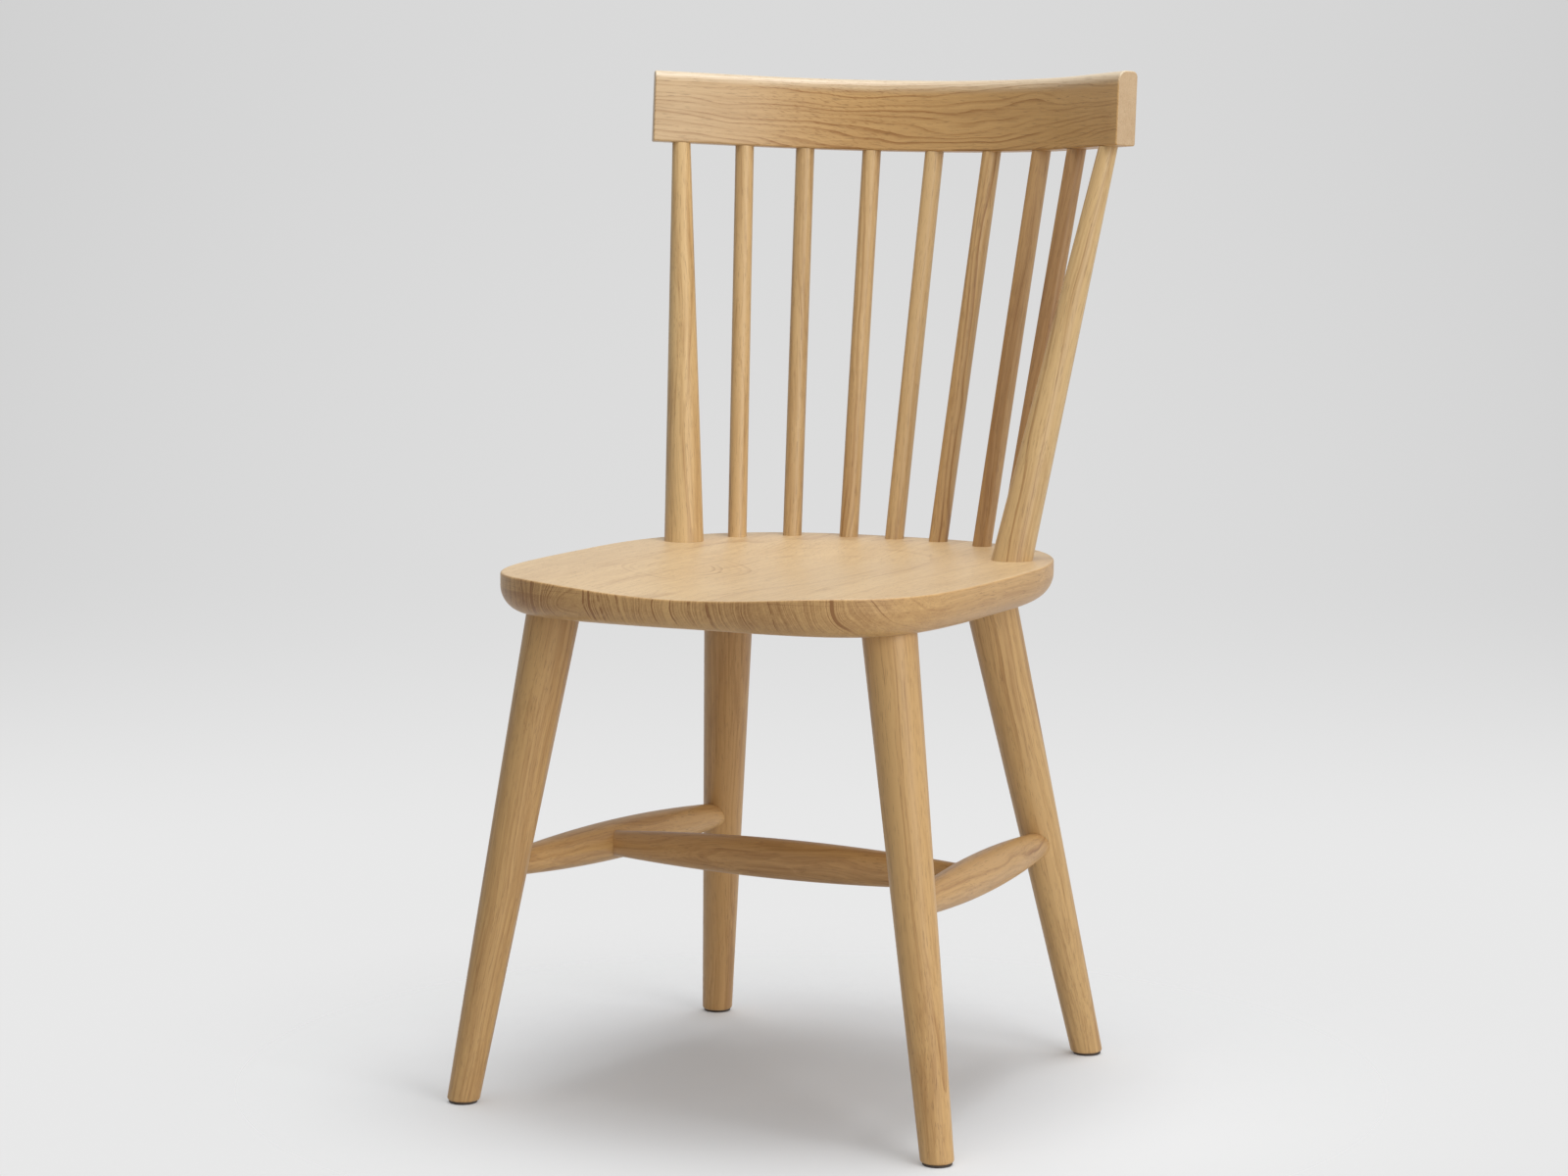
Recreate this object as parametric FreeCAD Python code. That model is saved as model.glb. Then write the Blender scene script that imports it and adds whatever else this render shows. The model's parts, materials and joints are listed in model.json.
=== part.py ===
import FreeCAD, Part
import math
import os

os.makedirs("parts", exist_ok=True)
Vec = FreeCAD.Vector

# Driving dimensions, in millimetres and degrees. +Z is up, +Y is the back of the chair, X runs across it.
# The chair is the same on both sides of X = 0.

# Seat: one solid board with a D-shaped outline, saddled on top
seat_height = 448.5
seat_thickness = 33.0
seat_width = 406.0
seat_front_reach = 226.0
seat_rear_reach = 219.0
front_squareness = 4.2
rear_squareness = 2.6
front_corner_angle = 62.0
rear_corner_angle = 112.0
seat_under_round = 22.0
seat_arris_round = 2.0

# Saddle: a wide trough, rounded at its rear end, that runs out through the front edge, with an oval dish in
# its floor. Insets are measured from the seat's sides, front and rear.
trough_depth = 7.2
trough_side_inset = 53.0
trough_rear_inset = 37.0
trough_round_length = 116.0
dish_depth = 2.5
dish_side_inset = 102.0
dish_front_inset = 70.0
dish_rear_inset = 35.0
dish_power = 1.25

# Legs: straight turned cones. Each top stands inside the seat's side and its front or rear, and each foot is
# splayed outwards from there, sideways and lengthways.
front_leg_insets = (50.5, 85.5)
rear_leg_insets = (78.5, 95.5)
front_leg_splay = (65.0, 43.0)
rear_leg_splay = (59.0, 92.5)
foot_diameter = 27.0
leg_top_diameter = 44.6
leg_tenon_diameter = 24.0
leg_tenon_length = 24.0
foot_round = 2.5

# Foot glides: a domed disc with a nail, one under each leg
glide_diameter = 24.0
glide_thickness = 2.0
glide_round = 0.8
nail_diameter = 2.4
nail_length = 14.0

# Stretchers: barrel-turned, two side ones between the legs and one across
stretcher_front_height = 201.0
stretcher_rear_height = 193.0
stretcher_diameter = 34.0
stretcher_end_diameter = 22.0
stretcher_tenon_diameter = 15.0
stretcher_tenon_length = 22.0
cross_position = 0.425
cross_diameter = 34.0
cross_end_diameter = 22.0
cross_tenon_diameter = 14.0
cross_tenon_length = 19.0

# Back: two tapered posts and seven spindles, whose feet stand on a curve inside the seat's rear edge. The
# spindles are placed by their share of the posts' distance from the middle, at the feet and along the rail.
feet_side_inset = 36.0
feet_rear_inset = 19.0
post_foot_inset = 46.5
post_top_inset = 26.0
spindle_foot_shares = (0.0, 0.278, 0.588, 0.834)
spindle_top_shares = (0.0, 0.255, 0.514, 0.75)
spindle_diameter = 16.6
spindle_tenon_diameter = 11.0
spindle_tenon_length = 20.0
post_base_diameter = 34.5
post_top_diameter = 16.2
post_tenon_diameter = 22.0
post_tenon_length = 24.0

# Crest rail: a bent board, arc in the middle and straight at both ends, leaning back. It is placed by its
# rise above the seat's rim and by how far it stands behind the seat.
crest_rise = 339.4
crest_set_back = 62.5
crest_height = 63.0
crest_thickness = 20.0
crest_bend_radius = 250.0
crest_bend_half_angle = 40.0
crest_half_length = 259.5
crest_end_angle = 32.0
crest_lean = 4.25
crest_front_round = 9.0
crest_rear_round = 5.0
crest_under_round = 2.0
crest_end_round = 1.2

# Fits of the glued joints
glue_gap = 0.1
shoulder_gap = 0.02
socket_end_gap = 1.0
tenon_chamfer = 1.5

# Lengths that only have to be longer than what they pass through
tenon_root = 12.0
overrun = 30.0
reach = 1500.0

# How finely the seat's two free forms are laid out, and how near an edge lies to the plane it is told by
outline_steps = 40
saddle_columns = 36
saddle_rows = 38
near = 0.01

under_z = seat_height - seat_thickness
up = Vec(0, 0, 1)


def half_space(point, normal):
    """A block that fills the side of a plane that its normal points into."""
    block = Part.makeBox(reach, reach, reach, Vec(-reach / 2, -reach / 2, 0))
    block.Placement = FreeCAD.Placement(point, FreeCAD.Rotation(up, normal))
    return block


def unit(vector):
    """The same direction with a length of one."""
    return Vec(vector).normalize()


def at_height(start, end, z):
    """The point of a line at a height."""
    share = (z - start.z) / (end.z - start.z)
    return start + (end - start) * share


def on_plane(start, end, point, normal):
    """The point where a line crosses a plane."""
    axis = end - start
    return start + axis * ((point - start).dot(normal) / axis.dot(normal))


def round_bar(start, end, start_diameter, end_diameter):
    """A straight bar between two points, tapered where its diameters differ."""
    axis = end - start
    if abs(start_diameter - end_diameter) < 1e-6:
        return Part.makeCylinder(start_diameter / 2, axis.Length, start, axis)
    return Part.makeCone(start_diameter / 2, end_diameter / 2, axis.Length, start, axis)


def tenon(shoulder, direction, diameter, length):
    """A round tenon with a chamfered tip, rooted in its own piece behind the shoulder."""
    straight = tenon_root + length - tenon_chamfer
    start = shoulder - direction * tenon_root
    peg = Part.makeCylinder(diameter / 2, straight, start, direction)
    tip = Part.makeCone(
        diameter / 2, diameter / 2 - tenon_chamfer, tenon_chamfer, start + direction * straight, direction
    )
    return peg.fuse(tip)


def socket(shoulder, direction, diameter, length):
    """The blind hole for a tenon, wider by the glue gap and deeper by the end gap."""
    start = shoulder - direction * overrun
    return Part.makeCylinder(diameter / 2 + glue_gap, overrun + length + socket_end_gap, start, direction)


def mirrored(shape):
    """The same piece on the other side of the chair."""
    return shape.mirror(Vec(0, 0, 0), Vec(1, 0, 0))


def single(shape):
    """The one solid of a finished piece, with faces in one surface joined."""
    return shape.removeSplitter().Solids[0]


# Seat outline: a superellipse, squarer at the front than at the rear


def seat_outline_point(angle):
    """A point of the outline, by the angle from the front middle."""
    behind = math.cos(angle) < 0
    depth = seat_rear_reach if behind else seat_front_reach
    power = 2 / (rear_squareness if behind else front_squareness)
    x = math.copysign(abs(math.sin(angle)) ** power, math.sin(angle)) * seat_width / 2
    y = -math.copysign(abs(math.cos(angle)) ** power, math.cos(angle)) * depth
    return Vec(x, y, under_z)


def seat_outline():
    """The closed outline, one smooth curve through even steps of angle, parted at its four corners."""
    angles = [2 * math.pi * step / outline_steps for step in range(outline_steps)]
    curve = Part.BSplineCurve()
    curve.interpolate([seat_outline_point(angle) for angle in angles], PeriodicFlag=True)
    corners = (front_corner_angle, rear_corner_angle, 360 - rear_corner_angle, 360 - front_corner_angle)
    starts = sorted(curve.parameter(seat_outline_point(math.radians(angle))) for angle in corners)
    ends = starts[1:] + [starts[0] + curve.LastParameter - curve.FirstParameter]
    return Part.Wire([curve.toShape(start, end) for start, end in zip(starts, ends)])


# Saddle: the height of the seat's top face at any place on it


def seat_top_height(x, y):
    """Rim height, less the depths of the trough and the dish, which fade with the square of the distance."""
    trough_end = seat_rear_reach - trough_rear_inset
    across = x / (seat_width / 2 - trough_side_inset)
    along = max(0.0, y - trough_end + trough_round_length) / trough_round_length
    trough = trough_depth * max(0.0, 1 - across ** 2 - along ** 2) ** 2

    dish_front = dish_front_inset - seat_front_reach
    dish_rear = seat_rear_reach - dish_rear_inset
    across = x / (seat_width / 2 - dish_side_inset)
    along = (2 * y - dish_front - dish_rear) / (dish_rear - dish_front)
    dish = dish_depth * max(0.0, 1 - across ** 2 - along ** 2) ** dish_power
    return seat_height - trough - dish


def saddled_volume():
    """Everything below the saddled top face."""
    half_x = seat_width / 2 + overrun
    front = -seat_front_reach - overrun
    length = seat_front_reach + seat_rear_reach + 2 * overrun
    xs = [-half_x + 2 * half_x * column / saddle_columns for column in range(saddle_columns + 1)]
    ys = [front + length * row / saddle_rows for row in range(saddle_rows + 1)]
    surface = Part.BSplineSurface()
    surface.interpolate([[Vec(x, y, seat_top_height(x, y)) for y in ys] for x in xs])
    return surface.toShape().extrude(Vec(0, 0, -2 * seat_thickness))


def seat_board():
    """The board before it is bored: outline, rounded underside, saddled top and eased arris."""
    board = Part.Face(seat_outline()).extrude(Vec(0, 0, seat_thickness + overrun))
    under_edges = [edge for edge in board.Edges if edge.BoundBox.ZMax < under_z + near]
    board = board.makeFillet(seat_under_round, under_edges)
    board = board.common(saddled_volume())
    top_edges = [edge for edge in board.Edges if edge.BoundBox.ZMin > under_z + seat_thickness / 2]
    return board.makeFillet(seat_arris_round, top_edges)


# Legs: a straight cone whose shoulder is cut to the seat's underside, so that it sits flush at its splay


class Leg:
    """The axis and taper of one leg, from the floor to the seat's underside."""

    def __init__(self, side, end, seat_reach, insets, splay):
        self.top = Vec(side * (seat_width / 2 - insets[0]), end * (seat_reach - insets[1]), under_z)
        self.foot = Vec(self.top.x + side * splay[0], self.top.y + end * splay[1], 0)
        self.axis = unit(self.top - self.foot)

    def at(self, z):
        return at_height(self.foot, self.top, z)

    def diameter(self, z):
        return foot_diameter + (leg_top_diameter - foot_diameter) * z / under_z

    def cone(self, gap):
        """The taper carried past both ends, thicker by a gap all round."""
        low = -overrun
        high = under_z + overrun
        diameters = (self.diameter(low) + 2 * gap, self.diameter(high) + 2 * gap)
        return round_bar(self.at(low), self.at(high), *diameters)

    def solid(self, hole):
        body = self.cone(0)
        body = body.cut(half_space(Vec(0, 0, glide_thickness), -up))
        body = body.cut(half_space(self.top, up))
        foot_edge = [edge for edge in body.Edges if edge.BoundBox.ZMax < glide_thickness + near]
        body = body.makeFillet(foot_round, foot_edge)
        body = body.fuse(tenon(self.top, self.axis, leg_tenon_diameter, leg_tenon_length))
        pilot_depth = nail_length + socket_end_gap
        pilot = Part.makeCylinder(nail_diameter / 2 + glue_gap, pilot_depth, self.nail_place())
        return single(body.cut(pilot).cut(hole))

    def nail_place(self):
        """Where the glide's nail enters the foot."""
        return self.at(glide_thickness)

    def seat_socket(self):
        return socket(self.top, self.axis, leg_tenon_diameter, leg_tenon_length)

    def glide(self):
        """A domed disc under the foot, with its nail standing up into the leg."""
        middle = self.nail_place()
        base = middle - up * glide_thickness
        disc = Part.makeCylinder(glide_diameter / 2, glide_thickness, base)
        rim = [edge for edge in disc.Edges if edge.BoundBox.ZMax < near]
        disc = disc.makeFillet(glide_round, rim)
        shank_length = nail_length - nail_diameter
        shank = Part.makeCylinder(nail_diameter / 2, shank_length, middle)
        point = Part.makeCone(nail_diameter / 2, 0, nail_diameter, middle + up * shank_length)
        return single(disc.fuse(shank).fuse(point))


# Stretchers: barrel-turned, their ends coped to the round of what they meet


class Stretcher:
    """A barrel between two points, with a tenon at each end."""

    def __init__(self, start, end, start_inset, end_inset, size, tenon_size):
        self.start = start
        self.end = end
        self.axis = unit(end - start)
        self.start_shoulder = start + self.axis * start_inset
        self.end_shoulder = end - self.axis * end_inset
        self.insets = (start_inset, end_inset)
        self.middle_diameter, self.end_diameter = size
        self.tenon_diameter, self.tenon_length = tenon_size

    def barrel(self, gap):
        """The turned outline, thicker by a gap all round, run on straight to both points."""
        length = (self.end - self.start).Length
        thin = self.end_diameter / 2 + gap
        thick = self.middle_diameter / 2 + gap
        low = self.insets[0]
        high = length - self.insets[1]
        corners = [Vec(0, 0, 0), Vec(thin, 0, 0), Vec(thin, 0, low)]
        curve = Part.Arc(corners[2], Vec(thick, 0, (low + high) / 2), Vec(thin, 0, high)).toShape()
        after = [Vec(thin, 0, high), Vec(thin, 0, length), Vec(0, 0, length), Vec(0, 0, 0)]
        edges = [Part.makeLine(a, b) for a, b in zip(corners, corners[1:])]
        edges.append(curve)
        edges += [Part.makeLine(a, b) for a, b in zip(after, after[1:])]
        shape = Part.Face(Part.Wire(edges)).revolve(Vec(0, 0, 0), up, 360)
        shape.Placement = FreeCAD.Placement(self.start, FreeCAD.Rotation(up, self.axis))
        return shape

    def solid(self, start_neighbour, end_neighbour, hole):
        body = self.barrel(0).cut(start_neighbour).cut(end_neighbour)
        body = body.fuse(tenon(self.start_shoulder, -self.axis, self.tenon_diameter, self.tenon_length))
        body = body.fuse(tenon(self.end_shoulder, self.axis, self.tenon_diameter, self.tenon_length))
        if hole:
            body = body.cut(hole)
        return single(body)

    def start_socket(self):
        return socket(self.start_shoulder, -self.axis, self.tenon_diameter, self.tenon_length)

    def end_socket(self):
        return socket(self.end_shoulder, self.axis, self.tenon_diameter, self.tenon_length)


# Crest rail: its own frame has the underside at zero height and the middle of the board at the origin

crest_angle = math.radians(crest_bend_half_angle)
crest_bend_length = crest_bend_radius * crest_angle
crest_place = FreeCAD.Placement(
    Vec(0, seat_rear_reach + crest_set_back, seat_height + crest_rise),
    FreeCAD.Rotation(Vec(1, 0, 0), -crest_lean),
)
crest_up = crest_place.Rotation.multVec(up)


def crest_point(distance, height):
    """A point in the middle of the board's thickness, by its distance along the rail from the centre."""
    angle = max(-crest_angle, min(crest_angle, distance / crest_bend_radius))
    beyond = distance - angle * crest_bend_radius
    x = crest_bend_radius * math.sin(angle) + beyond * math.cos(angle)
    y = crest_bend_radius * (math.cos(angle) - 1) - beyond * math.sin(angle)
    return crest_place.multVec(Vec(x, y, height))


def crest_section():
    """The board's section, with a large round on the front top arris and a smaller one behind it."""
    front = -crest_thickness / 2
    back = crest_thickness / 2
    corners = [
        (front, 0, crest_under_round, 1, 1),
        (back, 0, crest_under_round, -1, 1),
        (back, crest_height, crest_rear_round, -1, -1),
        (front, crest_height, crest_front_round, 1, -1),
    ]
    rounds = []
    for number, (y, z, radius, inward, upward) in enumerate(corners):
        centre = Vec(0, y + inward * radius, z + upward * radius)
        to_side = Vec(0, y, centre.z)
        to_flat = Vec(0, centre.y, z)
        corner = centre + unit(Vec(0, y, z) - centre) * radius
        ends = (to_side, to_flat) if number % 2 == 0 else (to_flat, to_side)
        rounds.append((ends[0], corner, ends[1]))
    edges = []
    for this, following in zip(rounds, rounds[1:] + rounds[:1]):
        edges.append(Part.Arc(*this).toShape())
        edges.append(Part.makeLine(this[2], following[0]))
    return Part.Face(Part.Wire(edges))


def crest_board():
    """The bent board before it is bored: the arc with a straight length beyond each end of it."""
    centre = Vec(0, -crest_bend_radius, 0)
    section = crest_section()
    section.rotate(centre, up, crest_bend_half_angle)
    board = section.revolve(centre, up, -2 * crest_bend_half_angle)
    straight = crest_half_length - crest_bend_length
    left_way = Vec(-math.cos(crest_angle), -math.sin(crest_angle), 0)
    left_end = section.extrude(left_way * (straight + overrun))
    cut_angle = math.radians(crest_end_angle)
    cut_way = Vec(-math.cos(cut_angle), -math.sin(cut_angle), 0)
    cut_point = section.CenterOfMass + left_way * straight
    left_end = left_end.cut(half_space(cut_point, cut_way))
    board = board.fuse(left_end).fuse(mirrored(left_end)).removeSplitter()
    ends = [
        face for face in board.Faces if abs(abs(face.CenterOfMass.x) - abs(cut_point.x)) < crest_end_round
    ]
    board = board.makeFillet(crest_end_round, [edge for face in ends for edge in face.Edges])
    board.Placement = crest_place
    return board


# Posts and spindles: round bars with shoulders cut to the seat's rim and to the crest rail's underside


class Upright:
    """One member of the back, between the arc on the seat and the crest rail."""

    def __init__(self, side, foot, top, size, base_tenon):
        across = foot / (seat_width / 2 - feet_side_inset)
        along = (1 - across ** rear_squareness) ** (1 / rear_squareness)
        self.base = Vec(side * foot, (seat_rear_reach - feet_rear_inset) * along, seat_height)
        aim = crest_point(side * top, spindle_tenon_length / 2)
        self.axis = unit(aim - self.base)
        self.top = on_plane(self.base, aim, crest_point(0, 0), crest_up)
        self.base_diameter, self.top_diameter = size
        self.base_tenon_diameter, self.base_tenon_length = base_tenon

    def solid(self):
        length = (self.top - self.base).Length
        growth = (self.base_diameter - self.top_diameter) * overrun / length
        low = self.base - self.axis * overrun
        high = self.top + self.axis * overrun
        body = round_bar(low, high, self.base_diameter + growth, self.top_diameter - growth)
        body = body.cut(half_space(self.base + up * shoulder_gap, -up))
        body = body.cut(half_space(self.top, crest_up))
        body = body.fuse(tenon(self.base, -self.axis, self.base_tenon_diameter, self.base_tenon_length))
        body = body.fuse(tenon(self.top, self.axis, spindle_tenon_diameter, spindle_tenon_length))
        return single(body)

    def base_socket(self):
        return socket(self.base, -self.axis, self.base_tenon_diameter, self.base_tenon_length)

    def top_socket(self):
        return socket(self.top, self.axis, spindle_tenon_diameter, spindle_tenon_length)


# The chair, put together. Left is -X and right is +X, as seen from the front.

sides = {"left": -1, "right": 1}
legs = {}
for name, side in sides.items():
    legs["front_" + name] = Leg(side, -1, seat_front_reach, front_leg_insets, front_leg_splay)
    legs["rear_" + name] = Leg(side, 1, seat_rear_reach, rear_leg_insets, rear_leg_splay)


def side_stretcher(side):
    front = legs["front_" + side]
    rear = legs["rear_" + side]
    return Stretcher(
        front.at(stretcher_front_height),
        rear.at(stretcher_rear_height),
        front.diameter(stretcher_front_height) / 2,
        rear.diameter(stretcher_rear_height) / 2,
        (stretcher_diameter, stretcher_end_diameter),
        (stretcher_tenon_diameter, stretcher_tenon_length),
    )


side_stretchers = {side: side_stretcher(side) for side in sides}


def cross_stretcher():
    ends = [s.start + (s.end - s.start) * cross_position for s in side_stretchers.values()]
    inset = stretcher_diameter / 2
    size = (cross_diameter, cross_end_diameter)
    return Stretcher(ends[0], ends[1], inset, inset, size, (cross_tenon_diameter, cross_tenon_length))


cross = cross_stretcher()

post_foot = seat_width / 2 - post_foot_inset
post_top = crest_half_length - post_top_inset
post_size = (post_base_diameter, post_top_diameter)
post_tenon = (post_tenon_diameter, post_tenon_length)
spindle_size = (spindle_diameter, spindle_diameter)
spindle_tenon = (spindle_tenon_diameter, spindle_tenon_length)
uprights = {}
for name, side in sides.items():
    uprights["back_post_" + name] = Upright(side, post_foot, post_top, post_size, post_tenon)
half_count = len(spindle_foot_shares) - 1
for place in range(-half_count, half_count + 1):
    side = -1 if place < 0 else 1
    foot = post_foot * spindle_foot_shares[abs(place)]
    top = post_top * spindle_top_shares[abs(place)]
    uprights["spindle_" + str(place + half_count + 1)] = Upright(side, foot, top, spindle_size, spindle_tenon)

pieces = {}

seat = seat_board()
for leg in legs.values():
    seat = seat.cut(leg.seat_socket())
for upright in uprights.values():
    seat = seat.cut(upright.base_socket())
pieces["seat"] = single(seat)

crest = crest_board()
for upright in uprights.values():
    crest = crest.cut(upright.top_socket())
pieces["crest_rail"] = single(crest)

for name, upright in uprights.items():
    pieces[name] = upright.solid()

for name, leg in legs.items():
    stretcher = side_stretchers[name.split("_")[1]]
    at_front = name.startswith("front")
    hole = stretcher.start_socket() if at_front else stretcher.end_socket()
    pieces["leg_" + name] = leg.solid(hole)
    pieces["foot_glide_" + name] = leg.glide()

for side, stretcher in side_stretchers.items():
    front = legs["front_" + side].cone(glue_gap)
    rear = legs["rear_" + side].cone(glue_gap)
    hole = cross.start_socket() if side == "left" else cross.end_socket()
    pieces["side_stretcher_" + side] = stretcher.solid(front, rear, hole)

barrels = [stretcher.barrel(glue_gap) for stretcher in side_stretchers.values()]
pieces["cross_stretcher"] = cross.solid(barrels[0], barrels[1], None)

# The origin is on the floor, under the middle of the chair's overall box

boxes = [shape.optimalBoundingBox(False, False) for shape in pieces.values()]
depth_middle = (min(box.YMin for box in boxes) + max(box.YMax for box in boxes)) / 2
floor = min(box.ZMin for box in boxes)
for name, shape in pieces.items():
    shape.translate(Vec(0, -depth_middle, -floor))
    shape.exportStep("parts/" + name + ".step")

low = [min(getattr(box, side) for box in boxes) for side in ("XMin", "YMin", "ZMin")]
high = [max(getattr(box, side) for box in boxes) for side in ("XMax", "YMax", "ZMax")]
size = [round(b - a, 2) for a, b in zip(low, high)]
print(len(pieces), "pieces, overall width, depth and height", size, "moved back by", round(-depth_middle, 3))
for name, shape in pieces.items():
    print(name, shape.isValid(), len(shape.Solids), round(shape.Volume / 1000, 2), "cm3")
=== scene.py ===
import json
import math
from functools import partial

import bpy
import numpy as np
from mathutils import Matrix, Quaternion, Vector

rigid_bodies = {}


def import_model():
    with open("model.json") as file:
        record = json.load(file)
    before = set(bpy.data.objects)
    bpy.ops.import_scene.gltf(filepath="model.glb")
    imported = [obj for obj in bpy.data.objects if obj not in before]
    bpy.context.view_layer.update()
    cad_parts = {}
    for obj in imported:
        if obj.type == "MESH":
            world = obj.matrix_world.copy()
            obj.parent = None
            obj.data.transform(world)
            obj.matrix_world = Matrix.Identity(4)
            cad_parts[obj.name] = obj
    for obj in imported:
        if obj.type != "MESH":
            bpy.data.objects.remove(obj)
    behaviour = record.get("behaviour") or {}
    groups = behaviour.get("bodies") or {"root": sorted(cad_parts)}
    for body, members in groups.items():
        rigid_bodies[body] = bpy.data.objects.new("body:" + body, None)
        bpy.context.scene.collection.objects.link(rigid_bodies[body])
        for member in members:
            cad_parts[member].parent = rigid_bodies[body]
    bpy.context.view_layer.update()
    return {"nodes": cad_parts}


for leftover in list(bpy.data.objects):
    bpy.data.objects.remove(leftover)
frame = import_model()
print("frame loaded,", len(frame["nodes"]), "nodes")


# Shader sums: a Signal is one output of a node, and arithmetic on it adds Math nodes to its board


class Signal:
    def __init__(self, board, socket):
        self.board = board
        self.socket = socket

    def __add__(self, other):
        return self.board.math("ADD", self, other)

    def __sub__(self, other):
        return self.board.math("SUBTRACT", self, other)

    def __mul__(self, other):
        return self.board.math("MULTIPLY", self, other)

    def __truediv__(self, other):
        return self.board.math("DIVIDE", self, other)

    def __radd__(self, other):
        return self.board.math("ADD", other, self)

    def __rsub__(self, other):
        return self.board.math("SUBTRACT", other, self)

    def __rmul__(self, other):
        return self.board.math("MULTIPLY", other, self)

    def __rtruediv__(self, other):
        return self.board.math("DIVIDE", other, self)


class Board:  # the node tree of one material or of the world
    def __init__(self, owner):
        owner.use_nodes = True
        self.tree = owner.node_tree
        self.tree.nodes.clear()

    # any node: its settings are set first, then its inputs get values or links, and one output is given back
    def node(self, kind, settings=None, inputs=None, output=0):
        made = self.tree.nodes.new(kind)
        for key, value in (settings or {}).items():
            setattr(made, key, value)
        for key, value in (inputs or {}).items():
            if isinstance(value, Signal):
                self.tree.links.new(value.socket, made.inputs[key])
            else:
                made.inputs[key].default_value = value
        return Signal(self, made.outputs[output]) if made.outputs else made

    def math(self, operation, first, second=0.0):
        return self.node("ShaderNodeMath", {"operation": operation}, {0: first, 1: second})

    def vector(self, operation, first, second=(0, 0, 0), output="Vector"):
        return self.node("ShaderNodeVectorMath", {"operation": operation}, {0: first, 1: second}, output)

    def step(self, value, low, high):  # smooth step from 0 at low to 1 at high
        settings = {"interpolation_type": "SMOOTHSTEP"}
        return self.node("ShaderNodeMapRange", settings, {0: value, 1: low, 2: high, 3: 0.0, 4: 1.0})

    def noise(self, place, stretch, detail=2.0, output="Fac"):  # stretch is in features per metre, by axis
        settings = {"noise_dimensions": "3D"}
        inputs = {"Vector": self.vector("MULTIPLY", place, stretch), "Scale": 1.0}
        inputs.update({"Detail": detail, "Roughness": 0.55})
        return self.node("ShaderNodeTexNoise", settings, inputs, output)

    def noiseLine(self, place, detail=2.0):  # noise along one number
        settings = {"noise_dimensions": "1D"}
        return self.node("ShaderNodeTexNoise", settings, {"W": place, "Scale": 1.0, "Detail": detail})

    def parts(self, vector):
        split = self.node("ShaderNodeSeparateXYZ", None, {0: vector}).socket.node
        return [Signal(self, socket) for socket in split.outputs]

    def join(self, x, y, z):
        return self.node("ShaderNodeCombineXYZ", None, {0: x, 1: y, 2: z})

    def mix(self, share, first, second):  # the numbers are the node's colour sockets
        settings = {"data_type": "RGBA", "blend_type": "MIX", "clamp_factor": True}
        return self.node("ShaderNodeMix", settings, {0: share, 6: first, 7: second}, 2)


def swing(noise, depth):  # noise, which lies between 0 and 1, made to swing from -depth to depth
    return (noise - 0.5) * (2 * depth)


# Wood: lacquered, light brown, figured by the rings, pores and fibres of the tree it was cut from. Every
# depth is a share of the way from the early to the late colour, and every grain is in features per metre,
# across the wood twice and then along it

woodLook = {
    "early": (0.600, 0.365, 0.142, 1),  # the pale spring wood of a ring
    "late": (0.330, 0.155, 0.042, 1),  # its darker summer wood
    "baseDepth": 0.12,
    "ringWidth": 0.0045,
    "ringDepth": 0.40,
    "ringPeak": 0.8,  # how much more the strongest rings show
    "ringRise": (0.40, 0.95),  # the part of a ring in which its late wood darkens
    "ringFall": (0.96, 1.00),  # and the part in which it ends
    "faintest": 0.12,  # the faintest ring's share of the strongest
    "unevenness": 0.6,  # of the rings' widths
    "unevenRate": 0.45,
    "breaks": (70.0, 70.0, 9.0),  # the grain in which a ring's line comes and goes
    "breakEdge": (0.22, 0.54),
    "bandRate": 2.7,  # uneven bands to a ring
    "bandDepth": 0.26,
    "fibres": (700.0, 700.0, 8.0),
    "fibreDepth": 0.42,
    "streaks": (210.0, 210.0, 2.6),
    "streakDepth": 0.80,
    "patches": (15.0, 15.0, 3.2),
    "patchDepth": 0.50,
    "pore": (0.150, 0.070, 0.024, 1),
    "pores": (1500.0, 1500.0, 60.0),
    "poreEdge": (0.60, 0.70),
    "poreDepth": 0.34,
    "endEdge": (0.45, 0.95),  # how squarely a face has to cross the grain to be end grain
    "endDepth": 0.30,  # how much darker end grain is
    "endContrast": 0.8,  # how much more it shows the rings
    "litFigureDepth": 0.65,  # how much of the figure shows through the painted sheen and painted light
    "wander": (0.010, 0.0016),  # how far the rings stray, slowly and quickly
    "wanderGrains": ((5.0, 5.0, 2.2), (38.0, 38.0, 11.0)),
    "roughness": 0.60,
    "fibreRough": 0.07,
    "poreRough": 0.08,
    "specular": 0.15,
    "coat": 0.80,
    "coatRoughness": 0.42,
    "bump": 0.00020,
    "bumpStrength": 0.5,
    "fibreRelief": 0.6,  # these three are shares of the bump
    "poreRelief": 0.7,
    "ringRelief": 0.35,
}


# the trunk that a piece was cut from: z along its grain, with the pith at x = y = 0
def trunkPlace(board, centre, turn, pith):
    place = board.node("ShaderNodeTexCoord", output="Object")
    origin = Vector(centre) + turn.to_matrix() @ Vector(pith)
    inputs = {"Vector": place, "Location": origin, "Rotation": turn.to_euler()}
    return board.node("ShaderNodeMapping", {"vector_type": "TEXTURE"}, inputs)


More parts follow.
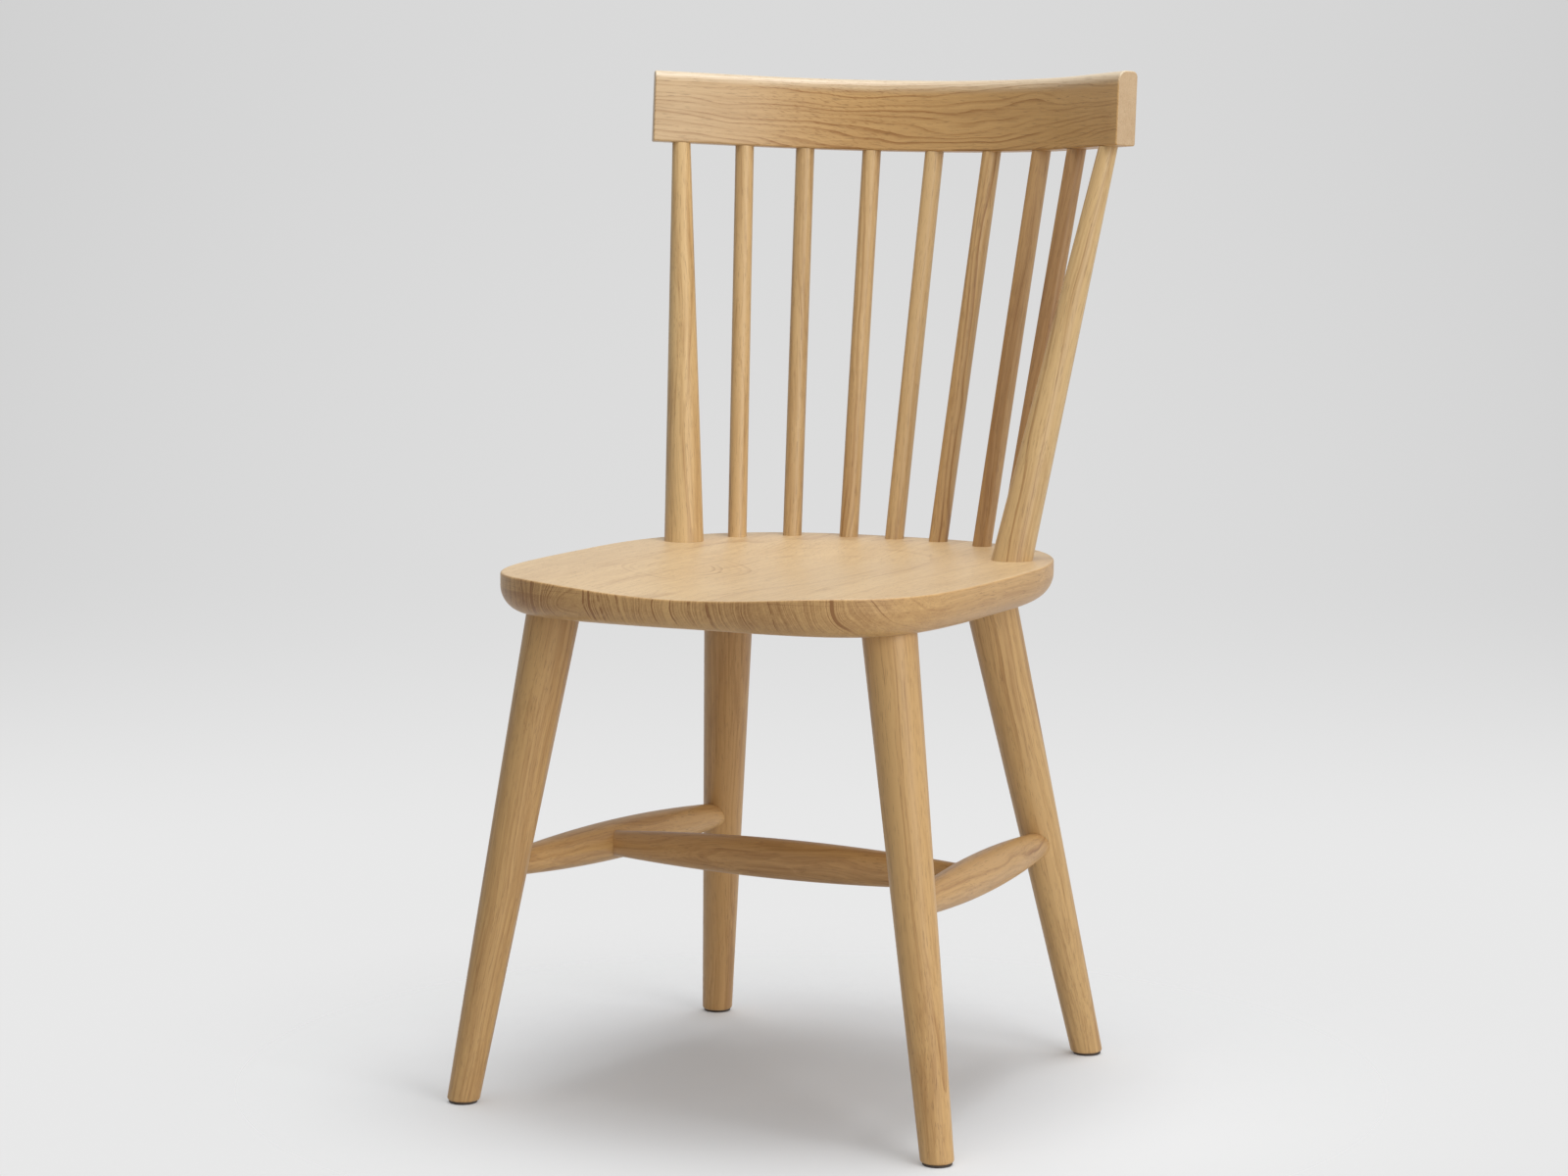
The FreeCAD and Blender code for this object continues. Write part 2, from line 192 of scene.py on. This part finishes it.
# a bent board's grain runs round its bend: height and thickness across it, and along it the arc's length and
# then its straight ends
def bentPlace(board, bend):
    lean = Quaternion((1, 0, 0), -bend["lean"])
    x, y, z = board.parts(trunkPlace(board, bend["bendCentre"], lean, (0, 0, 0)))
    side = board.math("ABSOLUTE", x)
    angle = board.math("MINIMUM", board.math("ARCTAN2", side, y), bend["halfAngle"])
    sine = board.math("SINE", angle)
    cosine = board.math("COSINE", angle)
    along = board.math("SIGN", x) * (angle * bend["radius"] + side * cosine - y * sine)
    across = side * sine + y * cosine - bend["radius"]
    return board.join(z, across, along)


# moves every point a little, slowly and quickly, more across the grain than along it
def stray(board, place, look):
    moved = place
    for reach, grain in zip(look["wander"], look["wanderGrains"]):
        drift = board.noise(place, grain, 1.5, "Color")
        drift = board.vector("SUBTRACT", drift, (0.5, 0.5, 0.5))
        moved = board.vector("ADD", moved, board.vector("MULTIPLY", drift, (4 * reach,) * 3))
    return moved


def distance(board, first, second):
    return board.math("SQRT", first * first + second * second)


def pithDistance(board, place):
    return distance(board, *board.parts(place)[:2])


# the dark lines that end each ring, which come at whole numbers of count, each of its own strength
def lateWood(board, count, look=woodLook):
    within = board.math("FRACT", count)
    number = board.math("FLOOR", count)
    tone = board.node("ShaderNodeTexWhiteNoise", {"noise_dimensions": "1D"}, {"W": number})
    line = board.step(within, *look["ringRise"]) * (1 - board.step(within, *look["ringFall"]))
    return line * (look["faintest"] + (1 - look["faintest"]) * tone * tone)


# place gives a point in the wood, with z along the grain, and depth gives how far out in the tree it lies;
# axis is the grain's direction on the object; figure adds marks to the rings, and paintedLight gives where
# the wood is painted paler, as painted sheen and painted light, and how pale
def woodMaterial(name, place, depth, axis, look, seed=0.0, figure=None, paintedLight=None):
    look = {**woodLook, **look}
    material = bpy.data.materials.new(name)
    board = Board(material)
    still = place(board)
    here = stray(board, still, look)

    even = depth(board, here) / look["ringWidth"] + seed
    rings = even + board.noiseLine(even * look["unevenRate"]) * (2 * look["unevenness"])
    broken = board.step(board.noise(here, look["breaks"]), *look["breakEdge"])
    late = lateWood(board, rings, look) * broken
    bands = board.noiseLine(rings * look["bandRate"], 3.0)
    fibres = board.noise(here, look["fibres"])
    streaks = board.noise(here, look["streaks"])
    patches = board.noise(here, look["patches"], 1.0)
    pores = board.step(board.noise(here, look["pores"], 1.0), *look["poreEdge"])

    normal = board.node("ShaderNodeTexCoord", output="Normal")
    facing = board.math("ABSOLUTE", board.vector("DOT_PRODUCT", normal, axis, "Value"))
    endGrain = board.step(facing, *look["endEdge"])

    depths = late * look["ringDepth"] * (1 + late * look["ringPeak"]) + swing(bands, look["bandDepth"])
    depths = depths * (1 + look["endContrast"] * endGrain)
    if figure:
        depths = depths + figure(board, still)
    depths = depths + swing(fibres, look["fibreDepth"]) + swing(streaks, look["streakDepth"])
    depths = depths + swing(patches, look["patchDepth"]) + endGrain * look["endDepth"] + look["baseDepth"]
    colour = board.mix(depths, look["early"], look["late"])
    # painted sheen and painted light: these places get a paler colour
    if paintedLight:
        share, pale = paintedLight(board, normal, still)
        colour = board.mix(share, colour, board.mix(depths * look["litFigureDepth"], pale, look["late"]))
    colour = board.mix(pores * look["poreDepth"], colour, look["pore"])

    height = fibres * look["fibreRelief"] - pores * look["poreRelief"] + late * look["ringRelief"]
    relief = {"Strength": look["bumpStrength"], "Distance": look["bump"], "Height": height}
    inputs = {"Base Color": colour, "Normal": board.node("ShaderNodeBump", None, relief)}
    inputs["Roughness"] = look["roughness"] + swing(fibres, look["fibreRough"]) + pores * look["poreRough"]
    inputs["Specular IOR Level"] = look["specular"]
    inputs["Coat Weight"] = look["coat"]
    inputs["Coat Roughness"] = look["coatRoughness"]
    surface = board.node("ShaderNodeBsdfPrincipled", None, inputs)
    board.node("ShaderNodeOutputMaterial", None, {"Surface": surface})
    return material


def woodParts(piece):  # what a piece's dictionary changes in the common look
    return {key: value for key, value in piece.items() if key in woodLook}


def dress(node, material):  # gives a CAD node its finish in place of the plain one
    slots = frame["nodes"][node].data.materials
    slots.clear()
    slots.append(material)


# Turned pieces: legs, posts, spindles and stretchers, each cut from its own place in a tree

turned = {
    "pithReach": (0.035, 0.12),  # nearest and furthest that a piece lay from the pith
    "alongReach": 20,  # how far up or down it lay, in metres, which sets the pieces' noise apart
    "ringShift": 7.0,  # rings from one piece to the next, which sets their rings apart
    "toneSpread": 0.05,
    "curl": (0.014, 0.0042),  # how far the rings of the stretchers' curly wood stray
    "curlDepth": 0.30,
    "seed": 31,
}

# how each piece's wood differs from the common colours, in red, green and blue; the first name that fits is
# the one that counts. The darker spindles 5 to 7, rear left leg and cross stretcher are painted shade, for
# the shade of the back post and of the seat above them
turnedTonesAndShade = {
    "back_post": (1.05, 1.16, 1.36),
    # painted shade from the back post on spindles 5 to 7
    "spindle_5": (0.96, 1.00, 1.12),
    "spindle_6": (0.82, 0.80, 0.84),
    "spindle_7": (0.72, 0.66, 0.66),
    "spindle": (1.00, 1.10, 1.32),
    "leg_front_left": (0.98, 0.97, 0.97),
    "leg_front": (0.97, 0.97, 0.99),
    # painted shade under the seat, here and on the cross stretcher
    "leg_rear_left": (0.85, 0.80, 0.76),
    "leg_rear_right": (1.03, 1.06, 1.12),
    "cross_stretcher": (0.76, 0.70, 0.66),
    "side_stretcher": (0.93, 0.90, 0.87),
}


# the middle and the long direction of a turned piece, from the spread of its points
def longAxis(node):
    mesh = frame["nodes"][node].data
    flat = np.empty(len(mesh.vertices) * 3)
    mesh.vertices.foreach_get("co", flat)
    points = flat.reshape(-1, 3)
    middle = (points.min(0) + points.max(0)) / 2
    direction = np.linalg.svd(points - points.mean(0), full_matrices=False)[2][0]
    direction *= np.sign(direction[np.argmax(np.abs(direction))])
    return Vector(middle), Vector(direction)


def tinted(colour, tint, tones):
    return tuple(part * tint * tone for part, tone in zip(colour, tones)) + (1,)


def dressTurned(names):
    draw = np.random.default_rng(turned["seed"])
    for number, name in enumerate(names):
        centre, axis = longAxis(name)
        roll = draw.uniform(0, 2 * math.pi)
        turn = axis.to_track_quat("Z", "Y") @ Quaternion((0, 0, 1), roll)
        aside = draw.uniform(*turned["pithReach"])
        along = draw.uniform(-turned["alongReach"], turned["alongReach"])
        tint = 1 + draw.uniform(-1, 1) * turned["toneSpread"]
        tones = next(tones for start, tones in turnedTonesAndShade.items() if name.startswith(start))
        look = {part: tinted(woodLook[part], tint, tones) for part in ("early", "late")}
        if "stretcher" in name:
            look.update(wander=turned["curl"], ringDepth=turned["curlDepth"])
        trunk = partial(trunkPlace, centre=centre, turn=turn, pith=(aside, 0.0, along))
        seed = number * turned["ringShift"]
        dress(name, woodMaterial("wood_" + name, trunk, pithDistance, axis, look, seed))


turnedKinds = ("leg", "back_post", "spindle", "side_stretcher", "cross_stretcher")
turnedNames = sorted(name for name in frame["nodes"] if name.startswith(turnedKinds))
dressTurned(turnedNames)
print("turned pieces finished,", len(turnedNames))

# Seat: grain from front to back, with the pith above the board and beyond its right side. The top is paler
# than the end grain at the front, by a painted sheen that stands in for its gloss, with soft lines where the
# saddle cuts the rings, and a swirl on the left

seat = {
    "early": (0.610, 0.372, 0.148, 1),
    "late": (0.285, 0.128, 0.036, 1),
    "top": (0.660, 0.470, 0.252, 1),  # painted sheen: the top's gloss painted in as a paler colour
    "topFacing": (0.55, 0.98),  # how far up a face has to look to get that painted sheen
    "pith": (0.249, 0.474),  # across and up
    "ringWidth": 0.0043,
    "ringDepth": 0.12,
    "unevenness": 1.3,
    "breaks": (90.0, 90.0, 9.0),
    "bandDepth": 0.10,
    "fibreDepth": 0.26,
    "streakDepth": 0.30,
    "patchDepth": 0.26,
    "endDepth": 0.20,
    "endContrast": 6.5,
    "wander": (0.012, 0.0026),
    "heart": (-0.108, 0.440),  # a small second heart at the left of the front edge, across and up
    "heartSize": (0.016, 0.014),
    "heartDepth": 0.022,  # how far it bends the rings
    "lineRise": 0.0017,  # how much deeper the saddle goes from one of its lines to the next
    "lineSlant": 4,  # lines to a metre across
    "lineGrain": (34.0, 34.0, 7.0),
    "lineStray": 1.3,  # in lines
    "lineDepth": 0.50,
    "topReach": (0.0360, 0.0375),  # the top's lines end this far below the pith's level
    "leftReach": (-0.27, -0.40),  # below them it gets darker to the left, measured from the pith
    "rightReach": (-0.14, -0.07),  # and a little to the right
    "sideDepths": (0.30, 0.18),
    "swirl": (-0.076, -0.083),  # its place on the top, across and along
    "swirlReach": (0.025, 0.072),  # it is strongest within the first and gone beyond the second
    "swirlLine": 0.0068,
    "swirlStretch": 0.45,
    "swirlGrain": (26.0, 26.0, 16.0),
    "swirlStray": 0.009,
    "swirlDepth": 0.85,
    "figureBreaks": (42.0, 42.0, 15.0),  # the grain in which the top's lines come and go
    "figureEdge": (0.34, 0.60),
}


# the rings are circles round the pith, which bend round the second heart
def seatDepth(board, place):
    x, y = board.parts(place)[:2]  # x is across from the pith and y down from it
    side = (x - (seat["heart"][0] - seat["pith"][0])) / seat["heartSize"][0]
    drop = (y - (seat["pith"][1] - seat["heart"][1])) / seat["heartSize"][1]
    bulge = board.math("EXPONENT", 0 - (side * side + drop * drop)) * seat["heartDepth"]
    return distance(board, x, y) - bulge


# on the top, ovals round the swirl and lines along the saddle's contours; below, darker sides
def seatFigure(board, place):
    x, y, z = board.parts(place)
    side = x - (seat["swirl"][0] - seat["pith"][0])
    length = z - seat["swirl"][1]
    reach = board.math("SQRT", side * side + length * length * seat["swirlStretch"])
    reach = reach + swing(board.noise(place, seat["swirlGrain"], 1.0), seat["swirlStray"])
    inside = 1 - board.step(reach, *seat["swirlReach"])
    ovals = lateWood(board, reach / seat["swirlLine"]) * inside * seat["swirlDepth"]
    wobble = board.noise(place, seat["lineGrain"], 3.0) * seat["lineStray"]
    rise = y / seat["lineRise"] + side * seat["lineSlant"] + wobble
    contours = lateWood(board, rise) * (1 - inside) * seat["lineDepth"]
    broken = board.step(board.noise(place, seat["figureBreaks"]), *seat["figureEdge"])
    below = board.step(y, *seat["topReach"])
    darker = board.step(x, *seat["leftReach"]) * seat["sideDepths"][0]
    darker = darker + board.step(x, *seat["rightReach"]) * seat["sideDepths"][1]
    return (ovals + contours) * broken * (1 - below) + darker * below


# the seat's painted sheen: faces that look up get the pale top colour
def seatSheen(board, normal, place):
    return board.step(board.parts(normal)[2], *seat["topFacing"]), seat["top"]


def dressSeat():
    turn = Matrix(((1, 0, 0), (0, 0, 1), (0, -1, 0))).to_quaternion()
    origin = Vector((seat["pith"][0], 0, seat["pith"][1]))
    trunk = partial(trunkPlace, centre=origin, turn=turn, pith=(0, 0, 0))
    finish = {"look": woodParts(seat), "figure": seatFigure, "paintedLight": seatSheen}
    dress("seat", woodMaterial("wood_seat", trunk, seatDepth, Vector((0, 1, 0)), **finish))


dressSeat()
print("seat finished")

# Crest rail: grain along the bend, its rings nearly flat to the face, so that they sag across it in long
# lines. Up is measured from the bend's centre, and along from the rail's middle, round the bend

crest = {
    "bendCentre": (0, -0.0029, 0.7879),
    "radius": 0.250,
    "halfAngle": math.radians(40),
    "lean": math.radians(4.25),
    "lowPoint": -0.05,  # where along the rail its lines sag lowest
    "sag": 0.42,
    "sagEnd": 0.084,  # how far up the lines no longer sag
    "cut": 0.40,  # how steeply the face crosses the rings
    "offset": 1.0,  # keeps the rings' count above nought
    "ringWidth": 0.0018,
    "ringDepth": 0.58,
    "unevenness": 0.35,
    "breaks": (110.0, 60.0, 9.0),
    "bandDepth": 0.18,
    "fibreDepth": 0.26,
    "streakDepth": 0.30,
    "patchDepth": 0.24,
    "endDepth": 0.0,
    "endContrast": -0.85,
    "wander": (0.007, 0.0016),
    "topPale": (0.660, 0.545, 0.385, 1),  # painted sheen on the top edge, where light glances off it
    "litBand": (0.0670, 0.0800),  # from how far up the face the painted sheen on that edge begins
    "litSide": (-0.06, -0.26),  # painted light on the left side, facing the right lamp: from how far along
    "sideShare": 0.40,  # of the pale colour there
    # painted light: both end faces are painted paler, as if lit
    "endLit": (0.575, 0.405, 0.236, 1),
    "endFacing": (0.70, 0.80),  # how far aside a face has to look to be an end
    "flecks": (-0.10, 0.060),  # where short flecks cross the face, along and up
    "fleckStretch": 0.6,
    "fleckReach": (0.02, 0.080),
    "fleckSlant": 0.22,
    "fleckGrain": (900.0, 300.0, 150.0),
    "fleckEdge": (0.55, 0.70),
    "fleckDepth": 0.42,
    "endReach": (0.2175, 0.2205),  # how far along the ends' fine upright lines begin
    "endGrain": (16.0, 1100.0, 30.0),
    "endLines": 0.25,  # how much those lines show
}


def crestDepth(board, place):
    up, across, along = board.parts(place)
    run = along - crest["lowPoint"]
    sag = run * run * crest["sag"] * (1 - up / crest["sagEnd"])
    return across + (up - sag) * crest["cut"] + crest["offset"]


# short dark flecks near the left end's top, and fine upright lines on the end faces
def crestFigure(board, place):
    up, across, along = board.parts(place)
    aside = (along - crest["flecks"][0]) * crest["fleckStretch"]
    rise = up - crest["flecks"][1]
    near = 1 - board.step(distance(board, aside, rise), *crest["fleckReach"])
    slanted = board.join(up + along * crest["fleckSlant"], across, along)
    flecks = board.step(board.noise(slanted, crest["fleckGrain"], 1.0), *crest["fleckEdge"])
    atEnd = board.step(board.math("ABSOLUTE", along), *crest["endReach"])
    upright = swing(board.noise(place, crest["endGrain"]), crest["endLines"])
    return flecks * near * crest["fleckDepth"] + upright * atEnd


# the top edge gets a painted sheen, and the left side and the two end faces get painted light; all are paler
def crestLight(board, normal, place):
    up, _, along = board.parts(place)
    atEnd = board.step(board.math("ABSOLUTE", board.parts(normal)[0]), *crest["endFacing"])
    litBand = board.math("MAXIMUM", atEnd, board.step(up, *crest["litBand"]))
    side = board.step(along, *crest["litSide"]) * crest["sideShare"]
    return board.math("MAXIMUM", litBand, side), board.mix(atEnd, crest["topPale"], crest["endLit"])


def dressCrest():
    rail = partial(bentPlace, bend=crest)
    finish = {"look": woodParts(crest), "figure": crestFigure, "paintedLight": crestLight}
    dress("crest_rail", woodMaterial("wood_crest_rail", rail, crestDepth, Vector((1, 0, 0)), **finish))


dressCrest()
print("crest rail finished")

# Foot glides: dark moulded discs

glide = {
    "colour": (0.045, 0.032, 0.024, 1),
    "paler": (0.06075, 0.0432, 0.0324, 1),  # the specks in it
    "specks": (900.0, 900.0, 900.0),  # to the metre
    "roughness": 0.55,
    "bump": 0.0001,
    "bumpStrength": 0.4,
}


def dressGlides():
    material = bpy.data.materials.new("glide")
    board = Board(material)
    specks = board.noise(board.node("ShaderNodeTexCoord", output="Object"), glide["specks"])
    relief = {"Strength": glide["bumpStrength"], "Distance": glide["bump"], "Height": specks}
    inputs = {"Base Color": board.mix(specks, glide["colour"], glide["paler"])}
    inputs["Roughness"] = glide["roughness"]
    inputs["Normal"] = board.node("ShaderNodeBump", None, relief)
    surface = board.node("ShaderNodeBsdfPrincipled", None, inputs)
    board.node("ShaderNodeOutputMaterial", None, {"Surface": surface})
    for name in frame["nodes"]:
        if name.startswith("foot_glide"):
            dress(name, material)


dressGlides()
print("glides finished")

# Studio: a pale floor, seen through from below, that fades into a pale background, palest below the horizon.
# The world's spans are heights of the direction that is looked in, from -1 straight down to 1 straight up

studio = {
    "floorRadius": 3.0,
    "floorRings": 6,
    "floorSpokes": 64,
    "floorColour": (0.853, 0.862, 0.870, 1),
    "nearColour": (0.846, 0.868, 0.893, 1),  # cooler near the chair, whose wood lends it warmth
    "near": (0.10, 0.60),  # where the one colour turns into the other, from the middle
    "fade": (0.10, 0.70),  # where the floor begins to fade and where it has gone
    "horizon": 0.700,  # the background's level from the horizon up
    "horizonSpan": (0.02, -0.115),  # where it turns into the next level
    "foot": 0.725,
    "floorSpan": (-0.115, -0.190),  # and where that turns into the level that the floor fades to
    "floor": 0.810,
    "middle": 26.24,  # the background is brightest this way, in degrees
    "sideRate": 3.2,  # how soon it gets darker to the sides
    "sideDrop": 0.075,  # and how much at most
    "sideSpan": (-0.185, -0.10),  # but only above the floor
    "fill": 0.46,  # what lights the object from all sides
    "fillSlant": (0.75, -0.075),  # and how it grows to the right and to the rear
    "rays": ("Camera", "Glossy", "Transmission"),  # the kinds that see the background
}


def addToScene(name, data):  # as a new object that holds a mesh, a light or a camera
    made = bpy.data.objects.new(name, data)
    bpy.context.scene.collection.objects.link(made)
    return made


# a flat disc: a middle point, and round it rings of points at even distances and angles
def flatDisc(name, radius, rings, spokes):
    reach = np.linspace(0, 1, rings + 1)[1:] * radius
    angles = np.arange(spokes) * 2 * math.pi / spokes
    across = np.append(0.0, np.outer(reach, np.cos(angles)))
    forward = np.append(0.0, np.outer(reach, np.sin(angles)))
    places = np.column_stack([across, forward, np.zeros(rings * spokes + 1)])
    spoke = np.arange(spokes)
    after = (spoke + 1) % spokes
    middle = np.stack([np.zeros(spokes, int), 1 + spoke, 1 + after], 1)
    inner = 1 + np.arange(rings - 1)[:, None] * spokes
    quads = np.stack([inner + spoke, inner + spokes + spoke, inner + spokes + after, inner + after], -1)
    mesh = bpy.data.meshes.new(name)
    mesh.from_pydata(places.tolist(), [], middle.tolist() + quads.reshape(-1, 4).tolist())
    return addToScene(name, mesh)


def makeFloor():
    floor = flatDisc("floor", studio["floorRadius"], studio["floorRings"], studio["floorSpokes"])
    material = bpy.data.materials.new("floor")
    board = Board(material)
    reach = board.vector("LENGTH", board.node("ShaderNodeTexCoord", output="Object"), output="Value")
    under = board.node("ShaderNodeNewGeometry", output="Backfacing")
    clearShare = board.math("MAXIMUM", board.step(reach, *studio["fade"]), under)
    colour = board.mix(board.step(reach, *studio["near"]), studio["nearColour"], studio["floorColour"])
    inputs = {"Base Color": colour, "Roughness": 1.0, "Specular IOR Level": 0.0}
    near = board.node("ShaderNodeBsdfPrincipled", None, inputs)
    clear = board.node("ShaderNodeBsdfTransparent")
    surface = board.node("ShaderNodeMixShader", None, {0: clearShare, 1: near, 2: clear})
    board.node("ShaderNodeOutputMaterial", None, {"Surface": surface})
    floor.data.materials.append(material)


# what is seen, straight or in a gloss, is the background; what falls on the object is the fill
def makeWorld():
    world = bpy.data.worlds.new("studio")
    bpy.context.scene.world = world
    board = Board(world)
    x, y, z = board.parts(board.node("ShaderNodeTexCoord", output="Generated"))
    turn = math.radians(studio["middle"])
    flat = distance(board, x, y) + 0.0001
    aside = 1 - (y * math.cos(turn) - x * math.sin(turn)) / flat
    drop = board.math("MINIMUM", aside * studio["sideRate"], studio["sideDrop"])
    low = board.step(z, *studio["floorSpan"]) * (studio["floor"] - studio["foot"])
    rise = board.step(z, *studio["horizonSpan"]) * (studio["foot"] - studio["horizon"])
    shown = studio["horizon"] + rise + low - drop * board.step(z, *studio["sideSpan"])

    kinds = [board.node("ShaderNodeLightPath", output="Is " + kind + " Ray") for kind in studio["rays"]]
    seen = board.math("MINIMUM", kinds[0] + kinds[1] + kinds[2], 1.0)
    fill = studio["fill"] * (1 + x * studio["fillSlant"][0] + y * studio["fillSlant"][1])
    inputs = {"Color": (1, 1, 1, 1), "Strength": fill + seen * (shown - fill)}
    light = board.node("ShaderNodeBackground", None, inputs)
    board.node("ShaderNodeOutputWorld", None, {"Surface": light})


# each lamp: place, what it faces, width and height, and power in watts
lamps = {
    "overhead": {"place": (0.10, 0.06, 2.60), "aim": (0, 0, 0.2), "size": (1.25, 1.25), "power": 32},
    "right": {"place": (2.60, -1.30, 1.45), "aim": (0, 0, 0.5), "size": (1.5, 1.8), "power": 30},
}


def makeLamps():
    for name, lamp in lamps.items():
        light = bpy.data.lights.new(name, "AREA")
        light.shape = "RECTANGLE"
        light.size, light.size_y = lamp["size"]
        light.energy = lamp["power"]
        holder = addToScene(name, light)
        holder.location = lamp["place"]
        way = Vector(lamp["aim"]) - Vector(lamp["place"])
        holder.rotation_euler = way.to_track_quat("-Z", "Y").to_euler()


makeFloor()
makeWorld()
makeLamps()
print("studio made")

# Camera: where the photograph was taken from, in metres and degrees, with its lens in millimetres

camera = {
    "place": (1.4619, -3.0206, 0.8348),
    "azimuth": 26.24,
    "elevation": 7.01,
    "roll": 0.23,
    "lens": 91.43,
    "sensor": 36,
    "farthest": 200,
}


def makeCamera():
    turn = math.radians(camera["azimuth"])
    lift = math.radians(camera["elevation"])
    roll = math.radians(camera["roll"])
    back = Vector((math.sin(turn) * math.cos(lift), -math.cos(turn) * math.cos(lift), math.sin(lift)))
    level = Vector((math.cos(turn), math.sin(turn), 0))
    upright = back.cross(level)
    right = level * math.cos(roll) + upright * math.sin(roll)
    up = upright * math.cos(roll) - level * math.sin(roll)
    view = bpy.data.cameras.new("camera")
    view.lens = camera["lens"]
    view.sensor_width = camera["sensor"]
    view.clip_end = camera["farthest"]
    holder = addToScene("camera", view)
    axes = Matrix((right, up, back)).transposed().to_4x4()
    holder.matrix_world = Matrix.Translation(Vector(camera["place"])) @ axes
    bpy.context.scene.camera = holder


makeCamera()
bpy.context.scene.view_settings.view_transform = "Standard"
print("camera placed")
